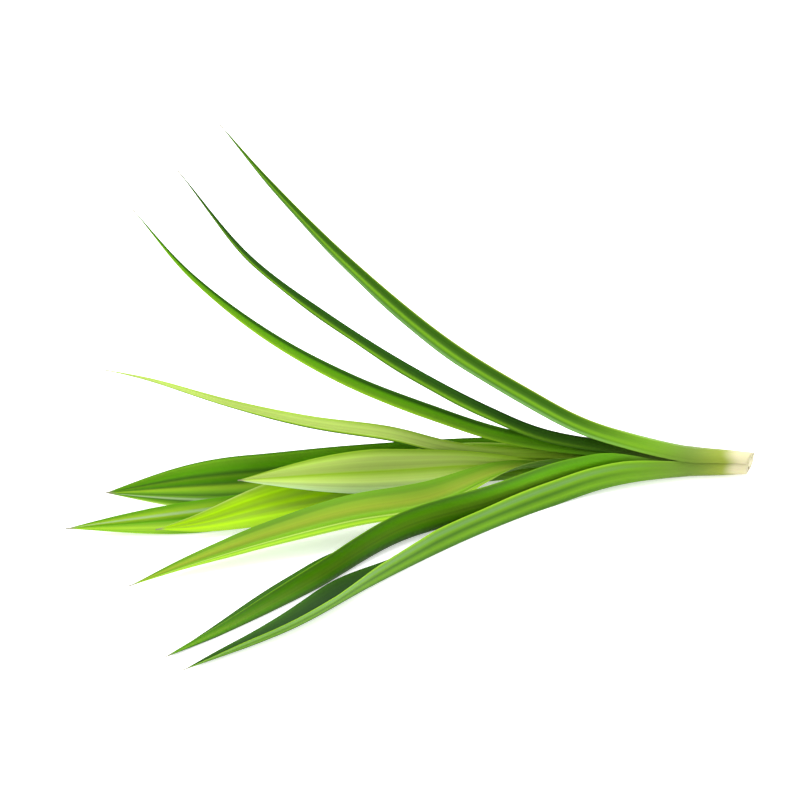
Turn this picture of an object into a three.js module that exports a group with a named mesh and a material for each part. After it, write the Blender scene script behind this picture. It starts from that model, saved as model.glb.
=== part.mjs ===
// A cut pandan shoot lying on a table: a short stem core wrapped in the sheaths of eleven
// long leaves. The leaves stand in three ranks, a third of a turn apart. In each rank the
// outer leaf wraps the next one, and every blade leaves the bundle further along than the
// one around it. Millimetres, +Z up, the cut end towards +X and the tips towards -X.

import * as THREE from 'three';

// ---- Driving dimensions (mm, degrees) ------------------------------------------------

const CUT_X = 9; // where the axis meets the cut
const CUT_HEIGHT = 8.2; // height of the axis at the cut
const AXIS_CLIMB = 0.045; // rise of the axis per mm, because the blades prop the crown up
const CUT_SLANT = 0.5; // the knife went through at a slant: mm along X per mm across
const SLANT_REACH = 40; // the slant has faded out this far from the cut

const LEVEL_RADII = [7.3, 6.0, 4.7, 3.4]; // mid-thickness radius of each sheath, outermost first
const FLARE_LENGTH = 90; // the sheaths have doubled their radius this far from the cut
const SHEATH_WRAP = 55; // half angle that one sheath covers
const CORE_RADIUS = 2.6;
const CORE_LENGTH = 62;
const CORE_TIP_RADIUS = 0.8;
const CORE_SIDES = 12;

const THICKNESS = 0.6; // of a blade at its keel
const MARGIN_THICKNESS = 0.25;
const TIP_HALF_WIDTH = 0.5;
const OPENING_LENGTH = 80; // from round sheath to folded blade
const TURNING_LENGTH = 120; // from facing the axis to facing the blade's own way
const KEEL_SOFTNESS = 0.1; // how sharply the blade folds along its keel, in half widths
const PLEAT_PLACE = 0.55; // where the second fold runs, in half widths from the keel
const PLEAT_SOFTNESS = 0.12;
const TABLE_HEIGHT = 1.0; // the underside is pressed flat here, where leaves meet the table
const PRESSED_THICKNESS = 0.3;
const NESTED_LIFT = 0.45; // a sheath inside another is pressed this much higher

const SECTION_PLACES = [-1, -0.6, -0.15, 0, 0.15, 0.6, 1]; // across, in half widths
const SECTION_STEPS = 80; // steps of the integral across one section
const CROWN_STEP = 15; // spacing of the sections near the bundle
const CROWN_END = 190;
const BLADE_STEP = 25; // and along the free blades

// Each rank: where its sheaths sit round the axis, which way their inner side looks, and
// whether the side vector has to be reversed so that "near" is the side towards -Y.
const RANKS = {
  upper: { azimuth: 90, inward: 270, side: -1 },
  front: { azimuth: 210, inward: 30, side: 1 },
  back: { azimuth: 330, inward: 150, side: 1 },
};

// The leaves. path: points of the keel beyond the sheath. halfWidth: keel to margin at the
// widest. near, far: the stretch of the leaf over which that side widens from the sheath.
// taper: the share of the length where the tip's narrowing starts; sharp: 0 for a rounded
// outline and 1 for a straight one. fold: angle of each wing. face: the way the inner side
// looks, as an angle about X. Both are [share of the length, degrees] pairs. pleat: how far
// the second fold bends the outer half of each wing back.
const LEAVES = [
  {
    name: 'upper_leaf_1', rank: 'upper', level: 0, color: 0x568c23, sheath: 48, halfWidth: 12.5,
    near: [30, 95], far: [90, 170], taper: 0.5, sharp: 0.4, pleat: 0,
    fold: [[0, 28], [0.2, 30], [0.35, 48], [1, 60]], face: [[0, 270], [1, 262]],
    path: [[-107, 0, 45], [-150, 1, 71], [-207, 4, 111], [-275, 12, 172], [-328, 22, 227], [-360, 30, 264]],
  },
  {
    name: 'upper_leaf_2', rank: 'upper', level: 1, color: 0x3a6912, sheath: 60, halfWidth: 9,
    near: [48, 110], far: [130, 200], taper: 0.45, sharp: 0.3, pleat: 0,
    fold: [[0, 28], [0.2, 30], [0.35, 50], [1, 60]], face: [[0, 270], [1, 275]],
    path: [[-135, -1, 37], [-178, -6, 61], [-234, -16, 103], [-288, -28, 152], [-338, -40, 205], [-380, -54, 276]],
  },
  {
    name: 'upper_leaf_3', rank: 'upper', level: 2, color: 0x5aa00c, sheath: 72, halfWidth: 10.5,
    near: [66, 150], far: [190, 260], taper: 0.5, sharp: 0.3, pleat: 0,
    fold: [[0, 28], [0.2, 30], [0.4, 52], [1, 60]], face: [[0, 270], [1, 262]],
    path: [[-163, 0, 37], [-220, 0, 59], [-276, 2, 84], [-331, 10, 114], [-385, 22, 155], [-422, 32, 198]],
  },
  {
    name: 'upper_leaf_4', rank: 'upper', level: 3, color: 0xaacd5a, sheath: 84, halfWidth: 13,
    near: [150, 280], far: [280, 380], taper: 0.4, sharp: 0.4, pleat: 0,
    fold: [[0, 28], [0.2, 30], [0.4, 52], [1, 60]], face: [[0, 270], [1, 262]],
    path: [[-192, -2.9, 26.3], [-248, -10.2, 47.4], [-304, -16.5, 60.9], [-358, -20, 77], [-412, -20, 95], [-444, -18, 101]],
  },
  {
    name: 'front_leaf_1', rank: 'front', level: 0, color: 0x4b7d1a, sheath: 48, halfWidth: 19,
    near: [40, 100], far: [240, 330], taper: 0.66, sharp: 0.15, pleat: 0,
    fold: [[0, 28], [0.2, 40], [0.35, 54], [0.7, 44], [1, 44]], face: [[0, 30], [0.55, 34], [0.75, 58], [1, 60]],
    path: [[-93, -24, 5], [-136, -42.2, 1], [-193, -77.3, 1.3], [-261, -129, 1], [-313, -173, 1], [-379, -214, 3]],
  },
  {
    name: 'front_leaf_2', rank: 'front', level: 1, color: 0x5a910c, sheath: 60, halfWidth: 25,
    near: [52, 115], far: [230, 330], taper: 0.68, sharp: 0.15, pleat: 0,
    fold: [[0, 28], [0.2, 36], [0.4, 42], [1, 42]], face: [[0, 30], [1, 38]],
    path: [[-129, -29.5, 5.8], [-179, -55.6, 4.6], [-241, -85.1, 4.7], [-301, -135, 1], [-352, -174, 1], [-392, -202, 3]],
  },
  {
    name: 'front_leaf_3', rank: 'front', level: 2, color: 0x96c326, sheath: 72, halfWidth: 17,
    near: [170, 300], far: [140, 260], taper: 0.6, sharp: 0.2, pleat: 20,
    fold: [[0, 28], [1, 36]], face: [[0, 30], [0.3, 50], [0.5, 100], [1, 100]],
    path: [[-157, -18, 16.2], [-220, -56.3, 14.7], [-275, -71.4, 14.5], [-329, -90, 11], [-376, -109, 7], [-422, -131, 3]],
  },
  {
    name: 'back_leaf_1', rank: 'back', level: 0, color: 0x64aa14, sheath: 56, halfWidth: 20,
    near: [240, 340], far: [70, 200], taper: 0.78, sharp: 0, pleat: 15,
    fold: [[0, 18], [1, 18]], face: [[0, 145], [1, 145]],
    path: [[-140, 6.8, 3.8], [-205, -0.6, 6.5], [-277, -12.8, 9.3], [-347, -27, 11], [-395, -35, 13], [-447, -39, 11]],
  },
  {
    name: 'back_leaf_2', rank: 'back', level: 1, color: 0x78af23, sheath: 64, halfWidth: 12.5,
    near: [280, 360], far: [90, 220], taper: 0.8, sharp: 0.1, pleat: 15,
    fold: [[0, 18], [1, 30]], face: [[0, 145], [1, 125]],
    path: [[-141, 3.7, 5.8], [-205, -5.6, 8.0], [-262, -23.9, 7.8], [-318, -45, 6.5], [-379, -60, 5.5], [-471, -73, 6]],
  },
  {
    name: 'back_leaf_3', rank: 'back', level: 2, color: 0xa5d703, sheath: 74, halfWidth: 18,
    near: [220, 320], far: [100, 220], taper: 0.72, sharp: 0.1, pleat: 15,
    fold: [[0, 16], [1, 22]], face: [[0, 145], [1, 130]],
    path: [[-141, 2, 7], [-205, -8, 9], [-276, -32, 10], [-331, -53, 11], [-379, -71, 9], [-409, -74, 6]],
  },
  {
    name: 'back_leaf_4', rank: 'back', level: 3, color: 0xb9d75f, sheath: 84, halfWidth: 16,
    near: [140, 240], far: [150, 280], taper: 0.72, sharp: 0.05, pleat: 15,
    fold: [[0, 12], [1, 18]], face: [[0, 145], [1, 140]],
    path: [[-141, -5.8, 8.9], [-191, -15.3, 17.2], [-241, -25.1, 20.5], [-297, -39, 27], [-353, -51, 31]],
  },
];

// ---- Small helpers -------------------------------------------------------------------

const radians = THREE.MathUtils.degToRad;
const rise = (x, start, end) => THREE.MathUtils.smoothstep(x, start, end);

/** Value at x on the straight lines through [place, value] pairs. */
function between(pairs, x) {
  const last = pairs.length - 1;
  if (x >= pairs[last][0]) return pairs[last][1];
  const i = pairs.findIndex(([place]) => x < place) - 1;
  const [x0, y0] = pairs[i];
  const [x1, y1] = pairs[i + 1];
  return y0 + ((y1 - y0) * (x - x0)) / (x1 - x0);
}

/** A unit vector across the shoot, at an angle about X measured from +Y to +Z. */
const across = (angle) => new THREE.Vector3(0, Math.cos(angle), Math.sin(angle));

/** The point of the shoot's axis at a distance from the cut. */
const axisPoint = (distance) =>
  new THREE.Vector3(CUT_X - distance, 0, CUT_HEIGHT + AXIS_CLIMB * distance);

/** Moves a point along X near the cut, so that the sheaths end in one slanted plane. */
function slant(point, distance) {
  point.x += CUT_SLANT * point.y * (1 - rise(distance, 0, SLANT_REACH));
  return point;
}

/** A closed geometry from points and triangles, turned so that its faces point out. */
function closedGeometry(points, triangles) {
  let volume = 0;
  for (const [a, b, c] of triangles) {
    volume += points[a].dot(points[b].clone().cross(points[c])) / 6;
  }
  const index = triangles.flatMap(([a, b, c]) => (volume > 0 ? [a, b, c] : [a, c, b]));
  const geometry = new THREE.BufferGeometry().setFromPoints(points);
  geometry.setIndex(index);
  geometry.computeVertexNormals();
  return geometry;
}

// ---- One leaf ------------------------------------------------------------------------

/** Radius of a leaf's sheath at a distance from the cut. */
const sheathRadius = (leaf, distance) =>
  LEVEL_RADII[leaf.level] * (1 + Math.min(distance, leaf.sheath) / FLARE_LENGTH);

/** Keel of a leaf: straight in its sheath, then through the points of its path. */
function keelCurve(leaf) {
  const outward = across(radians(RANKS[leaf.rank].azimuth));
  const sheath = [0, leaf.sheath / 2, leaf.sheath].map((distance) =>
    axisPoint(distance).addScaledVector(outward, sheathRadius(leaf, distance)),
  );
  const blade = leaf.path.map((point) => new THREE.Vector3(...point));
  const curve = new THREE.CatmullRomCurve3([...sheath, ...blade], false, 'centripetal');
  curve.arcLengthDivisions = 2000;
  return curve;
}

/** Distances of the sections from the cut, closer together near the bundle. */
function sectionDistances(length) {
  const crown = Math.round(CROWN_END / CROWN_STEP);
  const blade = Math.round((length - CROWN_END) / BLADE_STEP);
  const distances = [];
  for (let i = 0; i < crown; i += 1) distances.push((CROWN_END * i) / crown);
  for (let i = 0; i <= blade; i += 1) {
    distances.push(CROWN_END + ((length - CROWN_END) * i) / blade);
  }
  return distances;
}

/** Half widths of the two sides at a distance: the sheath's arc, the blade, then the tip. */
function halfWidths(leaf, distance, share) {
  const arc = sheathRadius(leaf, distance) * radians(SHEATH_WRAP);
  const left = THREE.MathUtils.clamp((1 - share) / (1 - leaf.taper), 0, 1);
  const outline = leaf.sharp * left + (1 - leaf.sharp) * Math.sin((left * Math.PI) / 2);
  return [leaf.near, leaf.far].map(([start, end]) => {
    const width = arc + (leaf.halfWidth - arc) * rise(distance, start, end);
    return Math.max(width * outline, TIP_HALF_WIDTH);
  });
}

/** The curve across one section, as [sideways, inward, slope] for each section place. */
function sectionCurve(leaf, distance, share) {
  const opened = rise(distance, leaf.sheath * 0.9, leaf.sheath + OPENING_LENGTH);
  const fold = radians(between(leaf.fold, share));
  const pleated = rise(distance, leaf.near[0], leaf.near[1] + 60);
  const pleat = radians(leaf.pleat) * pleated * THREE.MathUtils.clamp((1 - share) / 0.15, 0, 1);
  const slope = (s) => {
    const outer = 0.5 * (1 + Math.tanh((Math.abs(s) - PLEAT_PLACE) / PLEAT_SOFTNESS));
    const arc = (1 - opened) * radians(SHEATH_WRAP) * s;
    return arc + opened * fold * Math.tanh(s / KEEL_SOFTNESS) - pleat * Math.sign(s) * outer;
  };
  return SECTION_PLACES.map((place) => {
    let sideways = 0;
    let inward = 0;
    for (let i = 0; i < SECTION_STEPS; i += 1) {
      const angle = slope((place * (i + 0.5)) / SECTION_STEPS);
      sideways += (Math.cos(angle) * place) / SECTION_STEPS;
      inward += (Math.sin(angle) * place) / SECTION_STEPS;
    }
    return [sideways, inward, slope(place)];
  });
}

/** The closed solid of one leaf: a thin skin on each side of its middle surface. */
function leafGeometry(leaf) {
  const rank = RANKS[leaf.rank];
  const curve = keelCurve(leaf);
  const length = curve.getLength();
  const distances = sectionDistances(length);
  const count = SECTION_PLACES.length;
  const points = [];
  for (const distance of distances) {
    const share = distance / length;
    const keel = curve.getPointAt(share);
    const along = curve.getTangentAt(share);
    const turned = rise(distance, leaf.sheath * 0.9, leaf.sheath + TURNING_LENGTH);
    const face = rank.inward + (between(leaf.face, share) - rank.inward) * turned;
    const inward = across(radians(face));
    inward.addScaledVector(along, -inward.dot(along)).normalize();
    const side = inward.clone().cross(along).multiplyScalar(rank.side);
    const [near, far] = halfWidths(leaf, distance, share);
    const section = sectionCurve(leaf, distance, share);
    const nested = 1 - rise(distance, leaf.sheath * 0.9, leaf.sheath + OPENING_LENGTH);
    const floor = TABLE_HEIGHT + NESTED_LIFT * leaf.level * nested;
    for (const skin of [1, -1]) {
      const order = [...section.keys()];
      if (skin < 0) order.reverse();
      for (const j of order) {
        const [sideways, lift, slope] = section[j];
        const place = SECTION_PLACES[j];
        const width = place > 0 ? near : far;
        const thin = THREE.MathUtils.lerp(THICKNESS, MARGIN_THICKNESS, Math.abs(place) ** 3);
        const half = (skin * Math.min(thin, 0.8 * width)) / 2;
        const point = keel.clone();
        point.addScaledVector(side, sideways * width - Math.sin(slope) * half);
        point.addScaledVector(inward, lift * width + Math.cos(slope) * half);
        const lowest = floor + (half * inward.z > 0 ? PRESSED_THICKNESS : 0);
        point.z = Math.max(point.z, lowest);
        points.push(slant(point, distance));
      }
    }
  }
  const ring = 2 * count;
  const triangles = [];
  for (let i = 0; i + 1 < distances.length; i += 1) {
    for (let j = 0; j < ring; j += 1) {
      const a = i * ring + j;
      const b = i * ring + ((j + 1) % ring);
      // both skins are split along the same diagonal, so that a twisted blade stays a skin apart
      if (j < count) triangles.push([a, b, b + ring], [a, b + ring, a + ring]);
      else triangles.push([a, b, a + ring], [b, b + ring, a + ring]);
    }
  }
  for (const [start, turn] of [[0, true], [(distances.length - 1) * ring, false]]) {
    for (let j = 0; j + 1 < count; j += 1) {
      const [a, b, c, d] = [j, j + 1, ring - 2 - j, ring - 1 - j].map((k) => start + k);
      triangles.push(turn ? [a, c, b] : [a, b, c], turn ? [a, d, c] : [a, c, d]);
    }
  }
  return closedGeometry(points, triangles);
}

// ---- The stem core -------------------------------------------------------------------

/** The pith that the innermost sheaths stand on: a tapered round bar along the axis. */
function coreGeometry() {
  const profile = [
    [0, 0],
    [CORE_RADIUS, 0],
    [CORE_RADIUS, CORE_LENGTH / 2],
    [CORE_TIP_RADIUS, CORE_LENGTH],
    [0, CORE_LENGTH],
  ].map(([radius, distance]) => new THREE.Vector2(radius, distance));
  const geometry = new THREE.LatheGeometry(profile, CORE_SIDES);
  const position = geometry.attributes.position;
  for (let i = 0; i < position.count; i += 1) {
    const distance = position.getY(i);
    const point = axisPoint(distance);
    point.y += position.getX(i);
    point.z += position.getZ(i);
    slant(point, distance);
    position.setXYZ(i, point.x, point.y, point.z);
  }
  geometry.computeVertexNormals();
  return geometry;
}

// ---- Assembly ------------------------------------------------------------------------

function namedMesh(name, geometry, color) {
  const material = new THREE.MeshStandardMaterial({ color, roughness: 0.42, metalness: 0 });
  const mesh = new THREE.Mesh(geometry, material);
  mesh.name = name;
  return mesh;
}

const shoot = new THREE.Group();
shoot.add(namedMesh('stem_core', coreGeometry(), 0xe6e0aa));
for (const leaf of LEAVES) shoot.add(namedMesh(leaf.name, leafGeometry(leaf), leaf.color));

// The origin is on the table, under the middle of the whole shoot.
const box = new THREE.Box3().setFromObject(shoot);
const middle = box.getCenter(new THREE.Vector3());
shoot.position.set(-middle.x, -middle.y, -box.min.z);

export default shoot;
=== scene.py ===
"""A cut pandan shoot: eleven keeled leaves in three ranks, wrapped round a pale stem core.

Every blade is a grid surface worked out with numpy from the same driving numbers as the CAD
model, with veins, pleats, waves and a drying tip added, and is kept inside the CAD model's box.
"""

import math

import bpy
import numpy as np
from bpy.props import FloatProperty, FloatVectorProperty, IntProperty, PointerProperty
from bpy.types import Operator, Panel, PropertyGroup
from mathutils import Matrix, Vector


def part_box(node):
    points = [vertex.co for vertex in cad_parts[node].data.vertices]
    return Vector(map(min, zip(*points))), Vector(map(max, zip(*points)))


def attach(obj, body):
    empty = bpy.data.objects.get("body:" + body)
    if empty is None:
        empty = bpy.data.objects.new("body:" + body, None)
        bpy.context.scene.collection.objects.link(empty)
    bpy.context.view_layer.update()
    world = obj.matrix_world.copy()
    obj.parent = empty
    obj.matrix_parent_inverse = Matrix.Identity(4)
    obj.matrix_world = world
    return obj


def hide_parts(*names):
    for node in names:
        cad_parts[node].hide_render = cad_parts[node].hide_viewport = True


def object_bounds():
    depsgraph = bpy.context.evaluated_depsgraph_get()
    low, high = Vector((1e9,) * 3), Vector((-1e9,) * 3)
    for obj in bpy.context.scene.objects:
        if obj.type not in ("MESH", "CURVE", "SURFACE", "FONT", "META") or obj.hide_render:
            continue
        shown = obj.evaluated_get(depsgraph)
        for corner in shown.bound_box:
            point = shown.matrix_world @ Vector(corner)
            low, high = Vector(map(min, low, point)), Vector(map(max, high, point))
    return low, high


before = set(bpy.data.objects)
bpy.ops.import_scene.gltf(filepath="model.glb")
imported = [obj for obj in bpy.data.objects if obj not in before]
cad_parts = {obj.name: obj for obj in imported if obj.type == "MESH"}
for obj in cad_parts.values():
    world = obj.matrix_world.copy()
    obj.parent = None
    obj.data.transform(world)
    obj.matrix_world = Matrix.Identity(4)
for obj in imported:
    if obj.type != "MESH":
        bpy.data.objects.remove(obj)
CAD_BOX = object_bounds()

bl_info = {
    "name": "Pandan Shoot",
    "version": (1, 0, 0),
    "blender": (4, 5, 0),
    "location": "View3D > Sidebar > Pandan",
    "description": "Builds a cut pandan shoot from parametric leaf surfaces",
    "category": "Add Mesh",
}

MM = 0.001
TAU = 2 * math.pi

# ---- The shoot, in millimetres and degrees, as the CAD model has it ---------------------

CUT_X = 9.0
CUT_HEIGHT = 8.2
AXIS_CLIMB = 0.045
CUT_SLANT = 0.5
SLANT_REACH = 40.0
LEVEL_RADII = (7.3, 6.0, 4.7, 3.4)
SHEATH_WRAP = math.radians(61)
SHEATH_TILT = math.radians(4)
CORE_RADIUS = 2.6
CORE_LENGTH = 62.0
CORE_TIP_RADIUS = 0.8
TIP_HALF_WIDTH = 0.45
FLARE_LENGTH = 90.0
OPENING_LENGTH = 80.0
TURNING_LENGTH = 120.0
KEEL_SOFTNESS = 0.1
PLEAT_PLACE = 0.55
PLEAT_SOFTNESS = 0.12
TABLE_HEIGHT = 1.0
PRESSED_THICKNESS = 0.3
NESTED_LIFT = 0.45
OPENING_SHARE = 0.9  # share of the sheath's length where it starts to open
PLEAT_DELAY = 60.0  # the pleat is full this far past the widening
PLEAT_END = 0.15  # share of the length over which the pleat fades at the tip

# ---- Relief and paint that the CAD model leaves out --------------------------------------

PLACE_CROWDING = 1.35  # the points across crowd towards the margins like a sine to this angle
MAIN_VEINS = 7  # on each side of the keel
MIDRIB_HEIGHT = 0.35
MIDRIB_WIDTH = 0.06  # in half widths
WAVE_LENGTH = 90.0
STREAK_DEPTH = 0.42
DRIFT_DEPTH = 0.10
DRY_START, DRY_END = 0.982, 0.997  # shares of the length where the tip dries out

# azimuth of the sheaths round the axis, the way their inner side looks, and the sign that
# makes "near" the side towards -Y
RANKS = {"upper": (90, 270, -1), "front": (210, 30, 1), "back": (330, 150, 1)}

# The leaves. path: points of the keel beyond the sheath. half_width: keel to margin at the
# widest. near, far: the stretch over which that side widens. taper: share of the length where
# the tip's narrowing starts; sharp: 0 for a rounded outline and 1 for a straight one. fold:
# angle of each wing. face: the way the inner side looks, as an angle about X. pleat: how far
# the outer half of a wing bends back. crown: colour where the blade leaves the bundle. bands:
# colours across the blade from the far margin (-1) to the near one (1), with painted shade,
# painted highlights and painted reflection among them. inner_bands: colours of the inner skin
# where they differ, darkened with painted shade inside the V.
LEAVES = [
    dict(
        name="upper_leaf_1", rank="upper", level=0, slot="outer_leaf", sheath=48, half_width=12.5,
        near=(30, 95), far=(90, 170), taper=0.5, sharp=0.4, pleat=0,
        fold=[(0, 28), (0.2, 30), (0.35, 48), (1, 60)], face=[(0, 270), (1, 262)],
        path=[
            (-107, 0, 45), (-150, 1, 71), (-207, 4, 111),
            (-275, 12, 172), (-328, 22, 227), (-360, 30, 264),
        ],
        crown="leaf",
        # Painted highlight: the olive line at the keel is light on the ridge; the bluish band near
        # the near margin is painted reflection.
        bands=[
            (-1, "deep"), (-0.1, "deep"), (0, "olive"), (0.08, "deep"), (0.3, "deep"),
            (0.5, "moss"), (0.62, "leaf"), (0.78, "moss"), (0.93, "bluish_reflection"), (1, "moss"),
        ],
    ),
    dict(
        name="upper_leaf_2", rank="upper", level=1, slot="outer_leaf", sheath=60, half_width=9,
        near=(48, 110), far=(130, 200), taper=0.45, sharp=0.3, pleat=0,
        fold=[(0, 28), (0.2, 30), (0.35, 50), (1, 60)], face=[(0, 270), (1, 275)],
        path=[
            (-135, -1, 37), (-178, -6, 61), (-234, -16, 103),
            (-288, -28, 152), (-338, -40, 205), (-380, -54, 276),
        ],
        crown="moss",
        # Painted shade: the far half and the keel in dark green, as the shaded side of the blade.
        bands=[
            (-1, "dark"), (0, "dark"), (0.3, "dark"), (0.6, "deep"), (0.8, "leaf"),
            (1, "deep"),
        ],
    ),
    dict(
        name="upper_leaf_3", rank="upper", level=2, slot="middle_leaf", sheath=72, half_width=10.5,
        near=(66, 150), far=(190, 260), taper=0.5, sharp=0.3, pleat=0,
        fold=[(0, 28), (0.2, 30), (0.4, 52), (1, 60)], face=[(0, 270), (1, 262)],
        path=[
            (-163, 0, 37), (-220, 0, 59), (-276, 2, 84),
            (-331, 10, 114), (-385, 22, 155), (-422, 32, 198),
        ],
        crown="fresh",
        # Painted shade: dark green on the far side, the shaded side of the blade.
        bands=[
            (-1, "dark"), (0, "deep"), (0.2, "dark"), (0.45, "fresh"), (0.8, "leaf"),
            (1, "lime"),
        ],
    ),
    dict(
        name="upper_leaf_4", rank="upper", level=3, slot="young_leaf", sheath=84, half_width=13,
        near=(150, 280), far=(280, 380), taper=0.4, sharp=0.4, pleat=0,
        fold=[(0, 28), (0.2, 30), (0.4, 52), (1, 60)], face=[(0, 270), (1, 262)],
        path=[
            (-192, -2.9, 26.3), (-248, -10.2, 47.4), (-304, -16.5, 60.9),
            (-358, -20, 77), (-412, -20, 95), (-444, -18, 101),
        ],
        crown="lime",
        # Painted shade: the deep green strip along the near margin is the shaded underside of the
        # near half.
        bands=[
            (-1, "lime"), (0, "lime"), (0.25, "pale"), (0.8, "pale"), (0.88, "lime"),
            (0.96, "deep"), (1, "deep"),
        ],
    ),
    dict(
        name="front_leaf_1", rank="front", level=0, slot="outer_leaf", sheath=48, half_width=19,
        near=(40, 100), far=(240, 330), taper=0.66, sharp=0.15, pleat=0,
        fold=[(0, 28), (0.2, 40), (0.35, 54), (0.7, 44), (1, 44)],
        face=[(0, 30), (0.55, 34), (0.75, 58), (1, 60)],
        path=[
            (-93, -24, 5), (-136, -42.2, 1), (-193, -77.3, 1.3),
            (-261, -129, 1), (-313, -173, 1), (-379, -214, 3),
        ],
        crown="leaf",
        # Painted reflection: the bluish band near the near margin; painted highlight: the lime near
        # margin catching the light.
        bands=[
            (-1, "deep"), (-0.3, "deep"), (0, "moss"), (0.12, "moss"), (0.3, "leaf"),
            (0.5, "moss"), (0.66, "leaf"), (0.78, "bluish_reflection"), (0.93, "leaf"), (1, "lime"),
        ],
        # Painted shade: near-black and dark green on the inner skin, the shaded inside of the V.
        inner_bands=[
            (-1, "deep"), (-0.6, "dark"), (-0.2, "painted_shade"), (0, "dark"), (0.6, "deep"),
            (1, "leaf"),
        ],
    ),
    dict(
        name="front_leaf_2", rank="front", level=1, slot="outer_leaf", sheath=60, half_width=25,
        near=(52, 115), far=(230, 330), taper=0.68, sharp=0.15, pleat=0,
        fold=[(0, 28), (0.2, 36), (0.4, 42), (1, 42)], face=[(0, 30), (1, 38)],
        path=[
            (-129, -29.5, 5.8), (-179, -55.6, 4.6), (-241, -85.1, 4.7),
            (-301, -135, 1), (-352, -174, 1), (-392, -202, 3),
        ],
        crown="fresh",
        bands=[
            (-1, "moss"), (-0.2, "deep"), (0, "dark"), (0.12, "moss"), (0.3, "fresh"),
            (0.42, "leaf"), (0.55, "leaf"), (0.75, "fresh"), (0.93, "moss"), (1, "leaf"),
        ],
        # Painted shade: dark green on the inner skin, the shaded inside of the V.
        inner_bands=[(-1, "deep"), (0, "dark"), (1, "leaf")],
    ),
    dict(
        name="front_leaf_3", rank="front", level=2, slot="middle_leaf", sheath=72, half_width=17,
        near=(170, 300), far=(140, 260), taper=0.6, sharp=0.2, pleat=20,
        fold=[(0, 28), (1, 36)], face=[(0, 30), (0.3, 50), (0.5, 100), (1, 100)],
        path=[
            (-157, -18, 16.2), (-220, -56.3, 14.7), (-275, -71.4, 14.5),
            (-329, -90, 11), (-376, -109, 7), (-422, -131, 3),
        ],
        crown="leaf",
        bands=[
            (-1, "leaf"), (-0.8, "leaf"), (-0.3, "olive"), (0, "leaf"), (0.3, "leaf"),
            (0.45, "pale"), (0.56, "leaf"), (0.8, "lime"), (0.92, "leaf"), (1, "pale"),
        ],
    ),
    dict(
        name="back_leaf_1", rank="back", level=0, slot="middle_leaf", sheath=56, half_width=20,
        near=(240, 340), far=(70, 200), taper=0.78, sharp=0, pleat=15,
        fold=[(0, 18), (1, 18)], face=[(0, 145), (1, 145)],
        path=[
            (-140, 6.8, 3.8), (-205, -0.6, 6.5), (-277, -12.8, 9.3),
            (-347, -27, 11), (-395, -35, 13), (-447, -39, 11),
        ],
        crown="leaf",
        # Painted highlight: the light grey green strip at 0.58 is a gloss highlight.
        bands=[
            (-1, "moss"), (-0.92, "leaf"), (-0.6, "fresh"), (-0.4, "moss"), (-0.3, "leaf"),
            (-0.2, "fresh"), (-0.05, "moss"), (0.1, "lime"), (0.25, "leaf"), (0.4, "moss"),
            (0.5, "leaf"), (0.58, "gloss_highlight"), (0.66, "moss"), (0.85, "leaf"), (1, "pale"),
        ],
    ),
    dict(
        name="back_leaf_2", rank="back", level=1, slot="middle_leaf", sheath=64, half_width=12.5,
        near=(280, 360), far=(90, 220), taper=0.8, sharp=0.1, pleat=15,
        fold=[(0, 18), (1, 30)], face=[(0, 145), (1, 125)],
        path=[
            (-141, 3.7, 5.8), (-205, -5.6, 8), (-262, -23.9, 7.8),
            (-318, -45, 6.5), (-379, -60, 5.5), (-471, -73, 6),
        ],
        crown="leaf",
        # Painted highlight: the light grey green strip on the far half is a gloss highlight.
        bands=[
            (-1, "fresh"), (-0.8, "leaf"), (-0.55, "lime"), (-0.42, "gloss_highlight"), (-0.3, "lime"),
            (-0.05, "fresh"), (0.1, "leaf"), (0.5, "lime"), (0.9, "leaf"), (1, "lime"),
        ],
    ),
    dict(
        name="back_leaf_3", rank="back", level=2, slot="young_leaf", sheath=74, half_width=18,
        near=(220, 320), far=(100, 220), taper=0.72, sharp=0.1, pleat=15,
        fold=[(0, 16), (1, 22)], face=[(0, 145), (1, 130)],
        path=[
            (-141, 2, 7), (-205, -8, 9), (-276, -32, 10),
            (-331, -53, 11), (-379, -71, 9), (-409, -74, 6),
        ],
        crown="lime",
        # Painted highlight: the pale far margin is a rim of light.
        bands=[
            (-1, "pale"), (-0.88, "lime"), (-0.5, "bright"), (-0.2, "lime"), (0, "bright"),
            (0.25, "lime"), (0.5, "bright"), (1, "lime"),
        ],
    ),
    dict(
        name="back_leaf_4", rank="back", level=3, slot="young_leaf", sheath=84, half_width=16,
        near=(140, 240), far=(150, 280), taper=0.72, sharp=0.05, pleat=15,
        fold=[(0, 12), (1, 18)], face=[(0, 145), (1, 140)],
        path=[
            (-141, -5.8, 8.9), (-191, -15.3, 17.2), (-241, -25.1, 20.5),
            (-297, -39, 27), (-353, -51, 31),
        ],
        crown="lime",
        # Painted highlight: the light grey green near margin is a gloss highlight.
        bands=[
            (-1, "lime"), (-0.6, "pale"), (-0.1, "pale"), (0, "lime"), (0.4, "pale"),
            (1, "gloss_highlight"),
        ],
    ),
]

# ---- Properties -------------------------------------------------------------------------


def length_property(name, description, default):
    """A length given in millimetres, stored in metres."""
    return FloatProperty(name=name, description=description, default=default * MM, unit="LENGTH")


def color_property(name, description, code):
    """A colour from a six-digit screen code, stored as the linear values that shaders use."""
    parts = [int(code[i : i + 2], 16) / 255 for i in (0, 2, 4)]
    linear = [c / 12.92 if c <= 0.04045 else ((c + 0.055) / 1.055) ** 2.4 for c in parts]
    return FloatVectorProperty(
        name=name, description=description, default=linear, size=3, subtype="COLOR", min=0, max=1
    )


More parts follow.
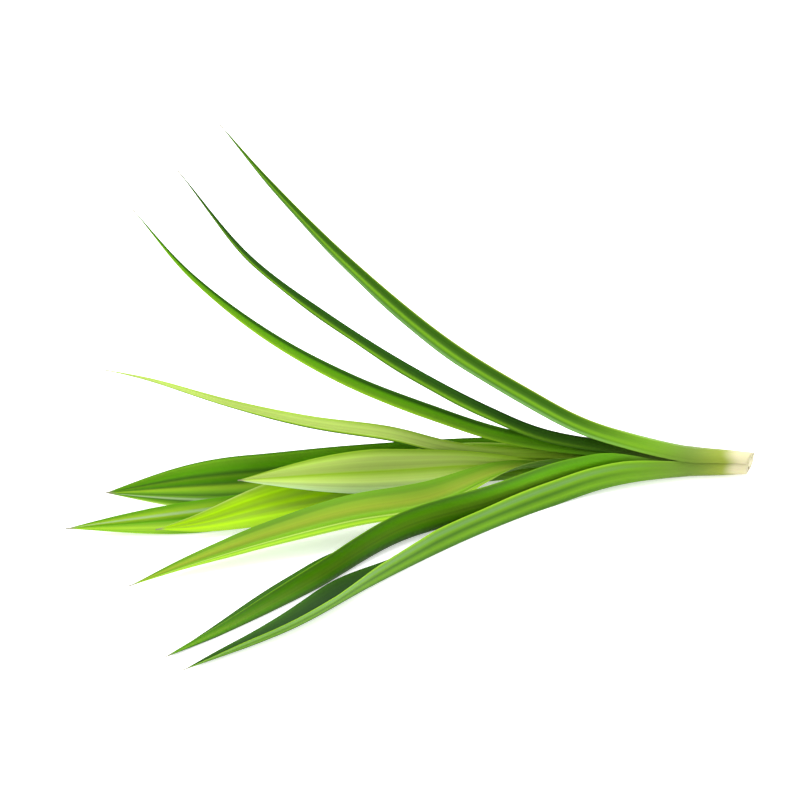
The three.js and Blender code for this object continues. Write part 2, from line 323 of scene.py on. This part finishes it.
class PandanSizes(PropertyGroup):
    blade_thickness: length_property("Blade thickness", "Thickness of a blade at its keel", 0.5)
    base_thickness: length_property("Base thickness", "Thickness of a sheath at the cut", 1.0)
    margin_thickness: length_property(
        "Margin thickness", "Thickness of a blade at its margin", 0.16
    )
    vein_height: length_property("Vein height", "How far the main veins stand out", 0.05)
    wave_height: length_property("Wave height", "How far the margins wave in and out", 0.5)
    stations: IntProperty(
        name="Stations",
        description="Sections along each leaf",
        default=420,
        min=40,
        subtype="UNSIGNED",
    )
    points_across: IntProperty(
        name="Points across",
        description="Points across each side",
        default=47,
        min=9,
        subtype="UNSIGNED",
    )


class PandanColors(PropertyGroup):
    depth: FloatProperty(
        name="Depth",
        description="Share of each colour that the wax lets back",
        default=1.0,
        subtype="FACTOR",
    )
    cream: color_property("Cream", "Cut face and the lowest part of the sheaths", "d7d0a6")
    base: color_property("Base", "Pale green of the sheaths near the cut", "91a03c")
    sheath: color_property("Sheath", "Green of the sheaths below the crown", "6d8933")
    # Painted shade: near-black green for inner faces in shadow.
    painted_shade: color_property("Night", "Shaded inner faces", "062f06")
    # Dark green, used as painted shade on the shaded sides of the blades and inside their V.
    dark: color_property("Dark", "Darkest green in daylight", "244e0b")
    deep: color_property("Deep", "Deep green", "36640e")
    moss: color_property("Moss", "Soft middle green", "49771d")
    leaf: color_property("Leaf", "Fresh green", "73a620")
    fresh: color_property("Fresh", "Saturated fresh green", "61a60c")
    olive: color_property("Olive", "Yellowish green", "a3b639")
    lime: color_property("Lime", "Yellow green of the younger blades", "9ec92c")
    bright: color_property("Bright", "Brightest lime of the young blade in the middle", "b2e608")
    pale: color_property("Pale", "Pale yellow green", "c0da6b")
    # Painted reflection: bluish green where the glossy blades mirror the light surround.
    bluish_reflection: color_property("Mist", "Bluish waxy green", "78a45c")
    # Painted highlight: light grey green gloss, painted on lit strips of the blades.
    gloss_highlight: color_property("Sheen", "Waxy light grey green", "beda9f")
    straw: color_property("Straw", "Dry tips", "958f73")


class PandanStage(PropertyGroup):
    floor: color_property("Floor", "Table under the shoot", "fbfbfb")
    floor_glow: FloatProperty(
        name="Floor glow",
        description="Light that the white table gives off itself",
        default=0.47,
        subtype="FACTOR",
    )
    sky_strength: FloatProperty(
        name="Sky strength",
        description="Brightness of the soft surround",
        default=0.9,
        subtype="FACTOR",
    )
    key_strength: FloatProperty(
        name="Key strength",
        description="Power of the large softbox above",
        default=30.0,
        unit="POWER",
    )
    camera_elevation: FloatProperty(
        name="Camera elevation",
        description="Height angle of the view",
        default=math.radians(35),
        unit="ROTATION",
    )
    camera_distance: FloatProperty(
        name="Camera distance",
        description="From the lens to the middle of the shoot",
        default=1.556,
        unit="LENGTH",
    )
    lens: FloatProperty(
        name="Lens",
        description="Focal length in millimetres on a 36 mm sensor",
        default=100.0,
        subtype="DISTANCE_CAMERA",
    )


def sizes():
    """The lengths and counts set in the sidebar."""
    return bpy.context.scene.pandan_sizes


def palette():
    """The colours set in the sidebar."""
    return bpy.context.scene.pandan_colors


# ---- Arithmetic on whole arrays -----------------------------------------------------------


def smooth(start, end, x):
    """Smoothstep: 0 before start, 1 after end, and 3k^2 - 2k^3 between them."""
    k = np.clip((x - start) / (end - start), 0, 1)
    return k * k * (3 - 2 * k)


def between(pairs, x):
    """Straight lines through (place, value) pairs."""
    places, values = zip(*pairs)
    return np.interp(x, places, values)


def unit(vectors):
    """The vectors divided by their lengths."""
    return vectors / np.linalg.norm(vectors, axis=-1, keepdims=True)


def across(angle):
    """Unit vectors across the shoot: (0, cos, sin) of an angle about X."""
    return np.stack([np.zeros_like(angle), np.cos(angle), np.sin(angle)], -1)


def axis_points(distance):
    """The growth axis: back from the cut along -X, climbing in proportion."""
    distance = np.asarray(distance, float)
    climb = CUT_HEIGHT + AXIS_CLIMB * distance
    return np.stack([CUT_X - distance, np.zeros_like(distance), climb], -1)


def smooth_curve(points, stations):
    """Centripetal Catmull-Rom curve through the points, resampled at equal arc lengths.

    Each stretch is the cubic with the end points and the end tangents that the square roots
    of the neighbouring chords give. A short running average then evens out its curvature.
    """
    ends = np.vstack([2 * points[0] - points[1], points, 2 * points[-1] - points[-2]])
    step = np.linalg.norm(np.diff(ends, axis=0), axis=1) ** 0.5
    p0, p1, p2, p3 = ends[:-3], ends[1:-2], ends[2:-1], ends[3:]
    d0, d1, d2 = step[:-2, None], step[1:-1, None], step[2:, None]
    t1 = ((p1 - p0) / d0 - (p2 - p0) / (d0 + d1) + (p2 - p1) / d1) * d1
    t2 = ((p2 - p1) / d1 - (p3 - p1) / (d1 + d2) + (p3 - p2) / d2) * d1
    c = np.linspace(0, 1, 200, endpoint=False)[None, :, None]
    p1, p2, t1, t2 = (a[:, None] for a in (p1, p2, t1, t2))
    cubic = p1 + t1 * c + (3 * (p2 - p1) - 2 * t1 - t2) * c**2 + (2 * (p1 - p2) + t1 + t2) * c**3
    curve = np.vstack([cubic.reshape(-1, 3), points[-1:]])
    arc = np.concatenate([[0], np.cumsum(np.linalg.norm(np.diff(curve, axis=0), axis=1))])
    even = np.linspace(0, arc[-1], stations)
    curve = np.stack([np.interp(even, arc, curve[:, k]) for k in range(3)], -1)
    reach = stations // 40
    window = np.hanning(2 * reach + 3)[1:-1]
    window /= window.sum()
    before = 2 * curve[0] - curve[reach:0:-1]
    after = 2 * curve[-1] - curve[-2 : -reach - 2 : -1]
    padded = np.vstack([before, curve, after])
    curve = np.stack([np.convolve(padded[:, k], window, "valid") for k in range(3)], -1)
    return curve, even


def ripple(rng, along, side, waves, reach):
    """Smooth irregular values: the mean of sines with random wavelengths and phases."""
    total = np.zeros(np.broadcast(along, side).shape)
    for _ in range(waves):
        turns = rng.uniform(0.4, 1.6) / reach
        lean = rng.uniform(-1.5, 1.5)
        total = total + np.sin(TAU * (along * turns + rng.uniform()) + lean * side)
    return total / waves


# ---- One leaf -----------------------------------------------------------------------------


def leaf_frame(leaf, stations):
    """Keel, tangent, inward and sideways vectors of a leaf at equal distances from the cut.

    The keel runs along its sheath and then through the path. The inward vector starts facing
    the axis and turns towards the blade's own facing angle; sideways is its cross product
    with the tangent, signed so that it points to the near side.
    """
    azimuth, inward_angle, side_sign = RANKS[leaf["rank"]]
    reach = np.array([0, 0.5, 1]) * leaf["sheath"]
    radius = LEVEL_RADII[leaf["level"]] * (1 + reach / FLARE_LENGTH)
    sheath = axis_points(reach) + radius[:, None] * across(np.radians(float(azimuth)))
    keel, distance = smooth_curve(np.vstack([sheath, leaf["path"]]), stations)
    share = distance / distance[-1]
    along = unit(np.gradient(keel, axis=0))
    turned = smooth(leaf["sheath"] * OPENING_SHARE, leaf["sheath"] + TURNING_LENGTH, distance)
    face = inward_angle + (between(leaf["face"], share) - inward_angle) * turned
    inward = across(np.radians(face))
    inward = unit(inward - (inward * along).sum(-1, keepdims=True) * along)
    side = np.cross(inward, along) * side_sign
    return keel, distance, share, along, inward, side


def half_widths(leaf, distance, share, place):
    """Half width at each grid point: sheath arc to blade by a smoothstep, times the outline.

    The outline is a mix of a straight line and a quarter sine over the tapering end.
    """
    flare = 1 + np.minimum(distance, leaf["sheath"]) / FLARE_LENGTH
    arc = LEVEL_RADII[leaf["level"]] * SHEATH_WRAP * flare
    left = np.clip((1 - share) / (1 - leaf["taper"]), 0, 1)
    outline = leaf["sharp"] * left + (1 - leaf["sharp"]) * np.sin(left * math.pi / 2)
    near, far = (
        np.maximum(
            (arc + (leaf["half_width"] - arc) * smooth(*leaf[key], distance)) * outline,
            TIP_HALF_WIDTH,
        )
        for key in ("near", "far")
    )
    return np.where(place[None] > 0, near[:, None], far[:, None])


def section_slope(leaf, distance, share, place):
    """Angle of the section curve: an arc in the sheath, a soft V with a second fold outside.

    The V is the fold angle times tanh of the place; past the pleat a tanh step bends it back.
    """
    sheath = leaf["sheath"]
    opened = smooth(sheath * OPENING_SHARE, sheath + OPENING_LENGTH, distance)[:, None]
    fold = np.radians(between(leaf["fold"], share))[:, None]
    pleated = smooth(leaf["near"][0], leaf["near"][1] + PLEAT_DELAY, distance)
    pleated = pleated * np.clip((1 - share) / PLEAT_END, 0, 1)
    pleat = math.radians(leaf["pleat"]) * pleated[:, None]
    outer = np.sign(place) * 0.5 * (1 + np.tanh((np.abs(place) - PLEAT_PLACE) / PLEAT_SOFTNESS))
    tilt = SHEATH_TILT * RANKS[leaf["rank"]][2]
    arc = (1 - opened) * (SHEATH_WRAP * place + tilt)
    return arc + opened * fold * np.tanh(place / KEEL_SOFTNESS) - pleat * outer


def integral_from_keel(values, place):
    """Trapezium integral across the section, zero at the keel in the middle column."""
    step = np.diff(place)
    total = np.cumsum((values[:, 1:] + values[:, :-1]) / 2 * step, axis=1)
    total = np.concatenate([np.zeros((len(values), 1)), total], axis=1)
    middle = len(place) // 2
    return total - total[:, middle : middle + 1]


def leaf_skins(leaf, rng):
    """The two skins of a leaf as grids of points, with the grid's places and distances.

    The middle surface is the keel plus the integral of (cos, sin) of the section slope times
    the half width, on the sideways and inward vectors. Each skin lies half the thickness off
    it. Veins are a sum of narrow ridges, and the margins wave with the cube of the place.
    """
    stations = sizes().stations
    place = np.sin(np.linspace(-1, 1, sizes().points_across) * PLACE_CROWDING)
    place /= math.sin(PLACE_CROWDING)
    keel, distance, share, along, inward, side = leaf_frame(leaf, stations)
    width = half_widths(leaf, distance, share, place)
    slope = section_slope(leaf, distance, share, place)
    sideways = integral_from_keel(np.cos(slope), place) * width
    lift = integral_from_keel(np.sin(slope), place) * width
    blade = smooth(leaf["sheath"] + 20, leaf["sheath"] + 140, distance)[:, None]
    end = np.clip((1 - share) / 0.1, 0, 1)[:, None]
    wave = ripple(rng, distance[:, None], np.sign(place) * 2.0, 4, WAVE_LENGTH)
    lift = lift + wave * np.abs(place) ** 3 * sizes().wave_height / MM * blade * end
    thinned = smooth(10, leaf["sheath"], distance)
    thick = sizes().base_thickness + (sizes().blade_thickness - sizes().base_thickness) * thinned
    thick = thick[:, None] / MM
    margin = sizes().margin_thickness / MM * thick / thick.min()
    thick = thick + (margin - thick) * np.abs(place) ** 3
    thick = np.minimum(thick, 0.8 * width)
    veins = np.abs(np.cos(math.pi * MAIN_VEINS * np.abs(place))) ** 6 * (1 - np.abs(place) ** 4)
    veins = veins * sizes().vein_height / MM * blade * end
    midrib = np.exp(-((place / MIDRIB_WIDTH) ** 2)) * MIDRIB_HEIGHT * end
    sheath = leaf["sheath"]
    nested = 1 - smooth(sheath * OPENING_SHARE, sheath + OPENING_LENGTH, distance)
    slant = CUT_SLANT * (1 - smooth(0, SLANT_REACH, distance))[:, None]
    floor = (TABLE_HEIGHT + NESTED_LIFT * leaf["level"] * nested)[:, None]
    skins = []
    for skin, relief in ((1, -veins), (-1, veins + midrib)):
        half = skin * (thick / 2 + relief * 0.5)
        across_part = (sideways - np.sin(slope) * half)[..., None] * side[:, None]
        inward_part = (lift + np.cos(slope) * half)[..., None] * inward[:, None]
        points = keel[:, None] + across_part + inward_part
        lowest = floor + np.where(half * inward[:, 2:3] > 0, PRESSED_THICKNESS, 0)
        points[..., 2] = np.maximum(points[..., 2], lowest)
        points[..., 0] += slant * points[..., 1]
        skins.append(points)
    return skins, place, distance, share


def tone(name):
    """A palette colour, dimmed by the depth."""
    return np.array(getattr(palette(), name)) * palette().depth


def band_colors(bands, place):
    """Colours across a blade: straight blends between (place, colour name) pairs."""
    places, names = zip(*bands)
    colors = np.array([tone(name) for name in names])
    return np.stack([np.interp(place, places, colors[:, k]) for k in range(3)], -1)


def leaf_colors(leaf, bands, place, distance, share, rng):
    """Colour at each grid point: cream at the cut, the sheath's greens, then the blade's bands.

    The colours follow each other by smoothsteps of the distance. Sines in two sizes streak
    them along the blade, a slower one drifts, and the last few percent dry out to straw.
    """
    d, u, s = distance[:, None], share[:, None], place[None]
    drift = ripple(rng, d, s * 2, 5, 120.0)
    start = 45 + 30 * leaf["level"]
    colors = np.broadcast_to(tone("cream"), (len(distance), len(place), 3))
    steps = [
        (tone("base"), 2, 18),
        (tone("sheath"), 10, 52),
        (tone(leaf["crown"]), 40, start + 45),
        (band_colors(bands, place)[None], start, start + 110),
    ]
    for color, begin, end in steps:
        k = smooth(begin, end, d + 8 * drift)[..., None]
        colors = colors + (color - colors) * k
    broad = ripple(rng, d * 0.15, s * 11, 6, 120.0)
    fine = ripple(rng, d * 0.1, s * 37, 8, 120.0)
    streak = 0.5 * broad + 0.5 * fine
    shade = 1 + smooth(20, 90, d) * (STREAK_DEPTH * streak + DRIFT_DEPTH * drift)
    colors = colors * shade[..., None]
    dry = smooth(DRY_START, DRY_END, u + 0.003 * drift)[..., None]
    colors = colors + (tone("straw") - colors) * dry
    return np.clip(colors, 0, 1)


def closed_grid(name, outer, inner, outer_colors, inner_colors, uvs):
    """A closed mesh from two skins: their rows joined into rings, and the two ends filled.

    Ring i holds the outer row and the reversed inner row, so quads between rings make the
    walls and both margins; strips between the two rows close the ends.
    """
    rows, columns = outer.shape[:2]
    ring = 2 * columns
    rings = np.concatenate([outer, inner[:, ::-1]], axis=1)
    tones = np.concatenate([outer_colors, inner_colors[:, ::-1]], axis=1)
    coords = np.concatenate([uvs, uvs[:, ::-1]], axis=1)
    i, j = np.meshgrid(np.arange(rows - 1), np.arange(ring), indexing="ij")
    k = (j + 1) % ring
    walls = np.stack([i * ring + j, i * ring + k, (i + 1) * ring + k, (i + 1) * ring + j], -1)
    walls = walls.reshape(-1, 4)
    c = np.arange(columns - 1)
    cap = np.stack([c, ring - 1 - c, ring - 2 - c, c + 1], -1)
    faces = np.concatenate([walls, cap, cap[:, ::-1] + (rows - 1) * ring])
    points = rings.reshape(-1, 3)
    a, b, d = (points[faces[:, n]] for n in (0, 1, 2))
    e = points[faces[:, 3]]
    volume = (a * np.cross(b, d)).sum() + (a * np.cross(d, e)).sum()
    if volume < 0:
        faces = faces[:, ::-1]
    mesh = bpy.data.meshes.new(name)
    mesh.vertices.add(len(points))
    mesh.vertices.foreach_set("co", points.astype(np.float32).ravel())
    mesh.loops.add(faces.size)
    mesh.loops.foreach_set("vertex_index", faces.astype(np.int32).ravel())
    mesh.polygons.add(len(faces))
    mesh.polygons.foreach_set("loop_start", np.arange(0, faces.size, 4, dtype=np.int32))
    mesh.polygons.foreach_set("use_smooth", np.ones(len(faces), bool))
    mesh.update()
    layer = mesh.attributes.new("tone", "FLOAT_COLOR", "POINT")
    rgba = np.concatenate([tones.reshape(-1, 3), np.ones((len(points), 1))], axis=1)
    layer.data.foreach_set("color", rgba.astype(np.float32).ravel())
    uv = mesh.uv_layers.new(name="along")
    uv.data.foreach_set("uv", coords.reshape(-1, 2)[faces.ravel()].astype(np.float32).ravel())
    mesh.validate()
    piece = bpy.data.objects.new(name, mesh)
    bpy.context.scene.collection.objects.link(piece)
    return piece


def row_shift():
    """From the growth frame to the part's frame, measured on the stem core's lowest corner."""
    low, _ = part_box("stem_core")
    corner = np.array([CUT_X - CORE_LENGTH, -CORE_RADIUS, CUT_HEIGHT - CORE_RADIUS])
    return np.array(low) - corner * MM


def place_on_frame(points):
    """Millimetres of the growth frame to metres of the part's frame, kept inside the part's box."""
    return np.clip(points * MM + row_shift(), CAD_BOX[0], CAD_BOX[1])


def build_leaf(leaf):
    """One leaf as a closed, painted mesh on the frame; its seed comes from its name."""
    rng = np.random.default_rng(sum(map(ord, leaf["name"])))
    skins, place, distance, share = leaf_skins(leaf, rng)
    seed = int(rng.integers(1 << 30))
    # The inner skin takes inner_bands where a leaf has them, darkened with painted shade inside the
    # V.
    face_colors, back_colors = (
        leaf_colors(leaf, bands, place, distance, share, np.random.default_rng(seed))
        for bands in (leaf.get("inner_bands", leaf["bands"]), leaf["bands"])
    )
    uvs = np.stack(np.broadcast_arrays((place[None] + 1) / 2, distance[:, None] * MM * 10), -1)
    face, back = (place_on_frame(points) for points in skins)
    piece = closed_grid(leaf["name"] + "_blade", face, back, face_colors, back_colors, uvs)
    piece.data.materials.append(leaf_material(leaf["slot"]))
    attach(piece, "root")
    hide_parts(leaf["name"])
    return piece


def build_rank(rank):
    """Every leaf of one rank, outermost first."""
    for leaf in LEAVES:
        if leaf["rank"] == rank:
            build_leaf(leaf)


def build_core():
    """The core: rings of radius r(d) round the axis, full to half its length, then tapering."""
    wall = np.linspace(0, CORE_LENGTH, 40)
    distance = np.concatenate([np.full(6, 0.0), wall, np.full(3, CORE_LENGTH)])
    places = [0, CORE_LENGTH / 2, CORE_LENGTH]
    radius = np.interp(distance, places, [CORE_RADIUS, CORE_RADIUS, CORE_TIP_RADIUS])
    radius[:6] *= np.linspace(0.02, 0.96, 6)
    radius[-3:] *= (0.9, 0.5, 0.02)
    angle = np.linspace(0, TAU, 48, endpoint=False)
    ring = across(angle)
    points = axis_points(distance)[:, None] + radius[:, None, None] * ring[None]
    points[..., 0] += CUT_SLANT * (1 - smooth(0, SLANT_REACH, distance))[:, None] * points[..., 1]
    points = place_on_frame(points)
    rows, columns = points.shape[:2]
    i, j = np.meshgrid(np.arange(rows - 1), np.arange(columns), indexing="ij")
    k = (j + 1) % columns
    here, further = i * columns, (i + 1) * columns
    faces = np.stack([here + j, further + j, further + k, here + k], -1)
    mesh = bpy.data.meshes.new("stem_pith")
    ends = [list(range(columns)), list(range((rows - 1) * columns, rows * columns))[::-1]]
    mesh.from_pydata(points.reshape(-1, 3).tolist(), [], faces.reshape(-1, 4).tolist() + ends)
    mesh.polygons.foreach_set("use_smooth", np.ones(len(mesh.polygons), bool))
    piece = bpy.data.objects.new("stem_pith", mesh)
    bpy.context.scene.collection.objects.link(piece)
    piece.data.materials.append(pith_material())
    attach(piece, "root")
    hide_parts("stem_core")


# ---- Materials ----------------------------------------------------------------------------


def principled(name, **values):
    """A new material with the named Principled sockets set; returns it and its tree."""
    material = bpy.data.materials.new(name)
    material.use_nodes = True
    shader = material.node_tree.nodes["Principled BSDF"]
    for socket, value in values.items():
        shader.inputs[socket.replace("_", " ")].default_value = value
    return material, material.node_tree, shader


def node(tree, kind, **settings):
    """A new shader node with the settings given."""
    made = tree.nodes.new(kind)
    for key, value in settings.items():
        setattr(made, key, value)
    return made


def leaf_material(slot):
    """Waxy leaf: the painted tone, cut by fine parallel veins that follow the blade."""
    name = "fresh_" + slot
    if name in bpy.data.materials:
        return bpy.data.materials[name]
    material, tree, shader = principled(
        name, Roughness=0.34, Subsurface_Weight=0.1, Subsurface_Scale=0.001
    )
    shader.inputs["Subsurface Radius"].default_value = (0.5, 1.0, 0.2)
    shader.inputs["Specular IOR Level"].default_value = 0.06
    paint = node(tree, "ShaderNodeAttribute", attribute_name="tone")
    uv = node(tree, "ShaderNodeUVMap", uv_map="along")
    stretch = node(tree, "ShaderNodeMapping")
    stretch.inputs["Scale"].default_value = (1.0, 0.02, 1.0)
    veins = node(tree, "ShaderNodeTexWave", wave_type="BANDS", bands_direction="X")
    veins.inputs["Scale"].default_value = 16.0
    veins.inputs["Distortion"].default_value = 0.6
    veins.inputs["Detail"].default_value = 2.0
    tint = node(tree, "ShaderNodeMixRGB", blend_type="MULTIPLY")
    tint.inputs[0].default_value = 0.22
    bump = node(tree, "ShaderNodeBump")
    bump.inputs["Strength"].default_value = 0.25
    bump.inputs["Distance"].default_value = 0.0002
    tree.links.new(uv.outputs[0], stretch.inputs[0])
    tree.links.new(stretch.outputs[0], veins.inputs[0])
    tree.links.new(paint.outputs["Color"], tint.inputs[1])
    tree.links.new(veins.outputs["Color"], tint.inputs[2])
    tree.links.new(tint.outputs[0], shader.inputs["Base Color"])
    tree.links.new(veins.outputs["Fac"], bump.inputs["Height"])
    tree.links.new(bump.outputs[0], shader.inputs["Normal"])
    return material


def pith_material():
    """Cream pith with faint pores."""
    material, tree, shader = principled("cut_pith", Roughness=0.6)
    where = node(tree, "ShaderNodeTexCoord")
    pores = node(tree, "ShaderNodeTexNoise")
    pores.inputs["Scale"].default_value = 1500.0
    ramp = node(tree, "ShaderNodeValToRGB")
    cream = np.array(palette().cream)
    ramp.color_ramp.elements[0].color = (*(cream * 0.75), 1)
    ramp.color_ramp.elements[1].color = (*cream, 1)
    tree.links.new(where.outputs["Object"], pores.inputs["Vector"])
    tree.links.new(pores.outputs["Fac"], ramp.inputs["Fac"])
    tree.links.new(ramp.outputs["Color"], shader.inputs["Base Color"])
    return material


# ---- Stage ------------------------------------------------------------------------------

# metres, but the view's target is in millimetres of the shoot, and the sensor in millimetres
FLOOR_SIZE = 12.0
SOFTBOX_SIZE = (1.4, 1.0)
SOFTBOX_PLACE = (0.15, 0.55, 1.5)
SOFTBOX_TARGET = (0.0, 0.0, 0.03)
VIEW_TARGET = (-241.0, 0.0, 63.0)
SENSOR_WIDTH = 36.0


def aim(thing, target):
    """Turns a light or camera so that its -Z axis points at the target, with +Z up."""
    direction = Vector(target) - thing.location
    thing.rotation_euler = direction.to_track_quat("-Z", "Y").to_euler()


def build_stage():
    """White floor, even white surround, a large soft light from behind, and the camera."""
    scene = bpy.context.scene
    stage = scene.pandan_stage
    bpy.ops.mesh.primitive_plane_add(size=FLOOR_SIZE, location=(0, 0, 0))
    floor = bpy.context.object
    floor.name = "floor"
    material, _, shader = principled("floor_white", Roughness=0.5)
    shader.inputs["Base Color"].default_value = (*stage.floor, 1)
    shader.inputs["Emission Color"].default_value = (1, 1, 1, 1)
    shader.inputs["Emission Strength"].default_value = stage.floor_glow
    shader.inputs["Specular IOR Level"].default_value = 0.3
    floor.data.materials.append(material)
    world = bpy.data.worlds.new("surround")
    world.use_nodes = True
    sky = world.node_tree.nodes["Background"]
    sky.inputs["Color"].default_value = (1, 1, 1, 1)
    sky.inputs["Strength"].default_value = stage.sky_strength
    scene.world = world
    lamp = bpy.data.lights.new("rear_softbox", "AREA")
    lamp.energy = stage.key_strength
    lamp.shape = "RECTANGLE"
    lamp.size, lamp.size_y = SOFTBOX_SIZE
    key = bpy.data.objects.new("rear_softbox", lamp)
    key.location = SOFTBOX_PLACE
    scene.collection.objects.link(key)
    aim(key, SOFTBOX_TARGET)
    lens = bpy.data.cameras.new("view")
    lens.lens = stage.lens
    lens.sensor_width = SENSOR_WIDTH
    camera = bpy.data.objects.new("view", lens)
    target = place_on_frame(np.array(VIEW_TARGET))
    back = np.array([0, -math.cos(stage.camera_elevation), math.sin(stage.camera_elevation)])
    camera.location = target + back * stage.camera_distance
    scene.collection.objects.link(camera)
    aim(camera, target)
    scene.camera = camera
    scene.view_settings.view_transform = "Standard"


# ---- Operators ----------------------------------------------------------------------------


class PANDAN_OT_upper_leaves(Operator):
    """Build the rank of leaves that arches up into the air"""

    bl_idname = "pandan.upper_leaves"
    bl_label = "Upper Leaves"

    def execute(self, context):
        build_rank("upper")
        return {"FINISHED"}


class PANDAN_OT_front_leaves(Operator):
    """Build the rank of leaves that splays to the front and lies on the table"""

    bl_idname = "pandan.front_leaves"
    bl_label = "Front Leaves"

    def execute(self, context):
        build_rank("front")
        return {"FINISHED"}


class PANDAN_OT_back_leaves(Operator):
    """Build the rank of leaves that lies under and behind, with the youngest in front"""

    bl_idname = "pandan.back_leaves"
    bl_label = "Back Leaves"

    def execute(self, context):
        build_rank("back")
        return {"FINISHED"}


class PANDAN_OT_stem_core(Operator):
    """Build the pale pith that shows in the middle of the cut"""

    bl_idname = "pandan.stem_core"
    bl_label = "Stem Core"

    def execute(self, context):
        build_core()
        return {"FINISHED"}


class PANDAN_OT_stage(Operator):
    """Build the floor, the soft light and the camera"""

    bl_idname = "pandan.stage"
    bl_label = "Stage"

    def execute(self, context):
        build_stage()
        return {"FINISHED"}


class PANDAN_PT_sidebar(Panel):
    bl_label = "Pandan Shoot"
    bl_idname = "PANDAN_PT_sidebar"
    bl_space_type = "VIEW_3D"
    bl_region_type = "UI"
    bl_category = "Pandan"

    def draw(self, context):
        for operator in OPERATORS:
            self.layout.operator(operator.bl_idname)
        for name in GROUPS:
            group = getattr(context.scene, name)
            box = self.layout.box()
            for key in group.__annotations__:
                box.prop(group, key)


OPERATORS = (
    PANDAN_OT_stem_core,
    PANDAN_OT_upper_leaves,
    PANDAN_OT_front_leaves,
    PANDAN_OT_back_leaves,
    PANDAN_OT_stage,
)
GROUPS = {"pandan_sizes": PandanSizes, "pandan_colors": PandanColors, "pandan_stage": PandanStage}


def register():
    """Adds the properties, the operators and the panel."""
    for group in GROUPS.values():
        bpy.utils.register_class(group)
    for key, group in GROUPS.items():
        setattr(bpy.types.Scene, key, PointerProperty(type=group))
    for operator in OPERATORS:
        bpy.utils.register_class(operator)
    bpy.utils.register_class(PANDAN_PT_sidebar)


def unregister():
    """Removes what register adds, in reverse."""
    bpy.utils.unregister_class(PANDAN_PT_sidebar)
    for operator in reversed(OPERATORS):
        bpy.utils.unregister_class(operator)
    for key in GROUPS:
        delattr(bpy.types.Scene, key)
    for group in reversed(list(GROUPS.values())):
        bpy.utils.unregister_class(group)


def main():
    """Builds every piece and the stage."""
    register()
    bpy.ops.pandan.stem_core()
    bpy.ops.pandan.upper_leaves()
    bpy.ops.pandan.front_leaves()
    bpy.ops.pandan.back_leaves()
    bpy.ops.pandan.stage()


if __name__ == "__main__":
    main()
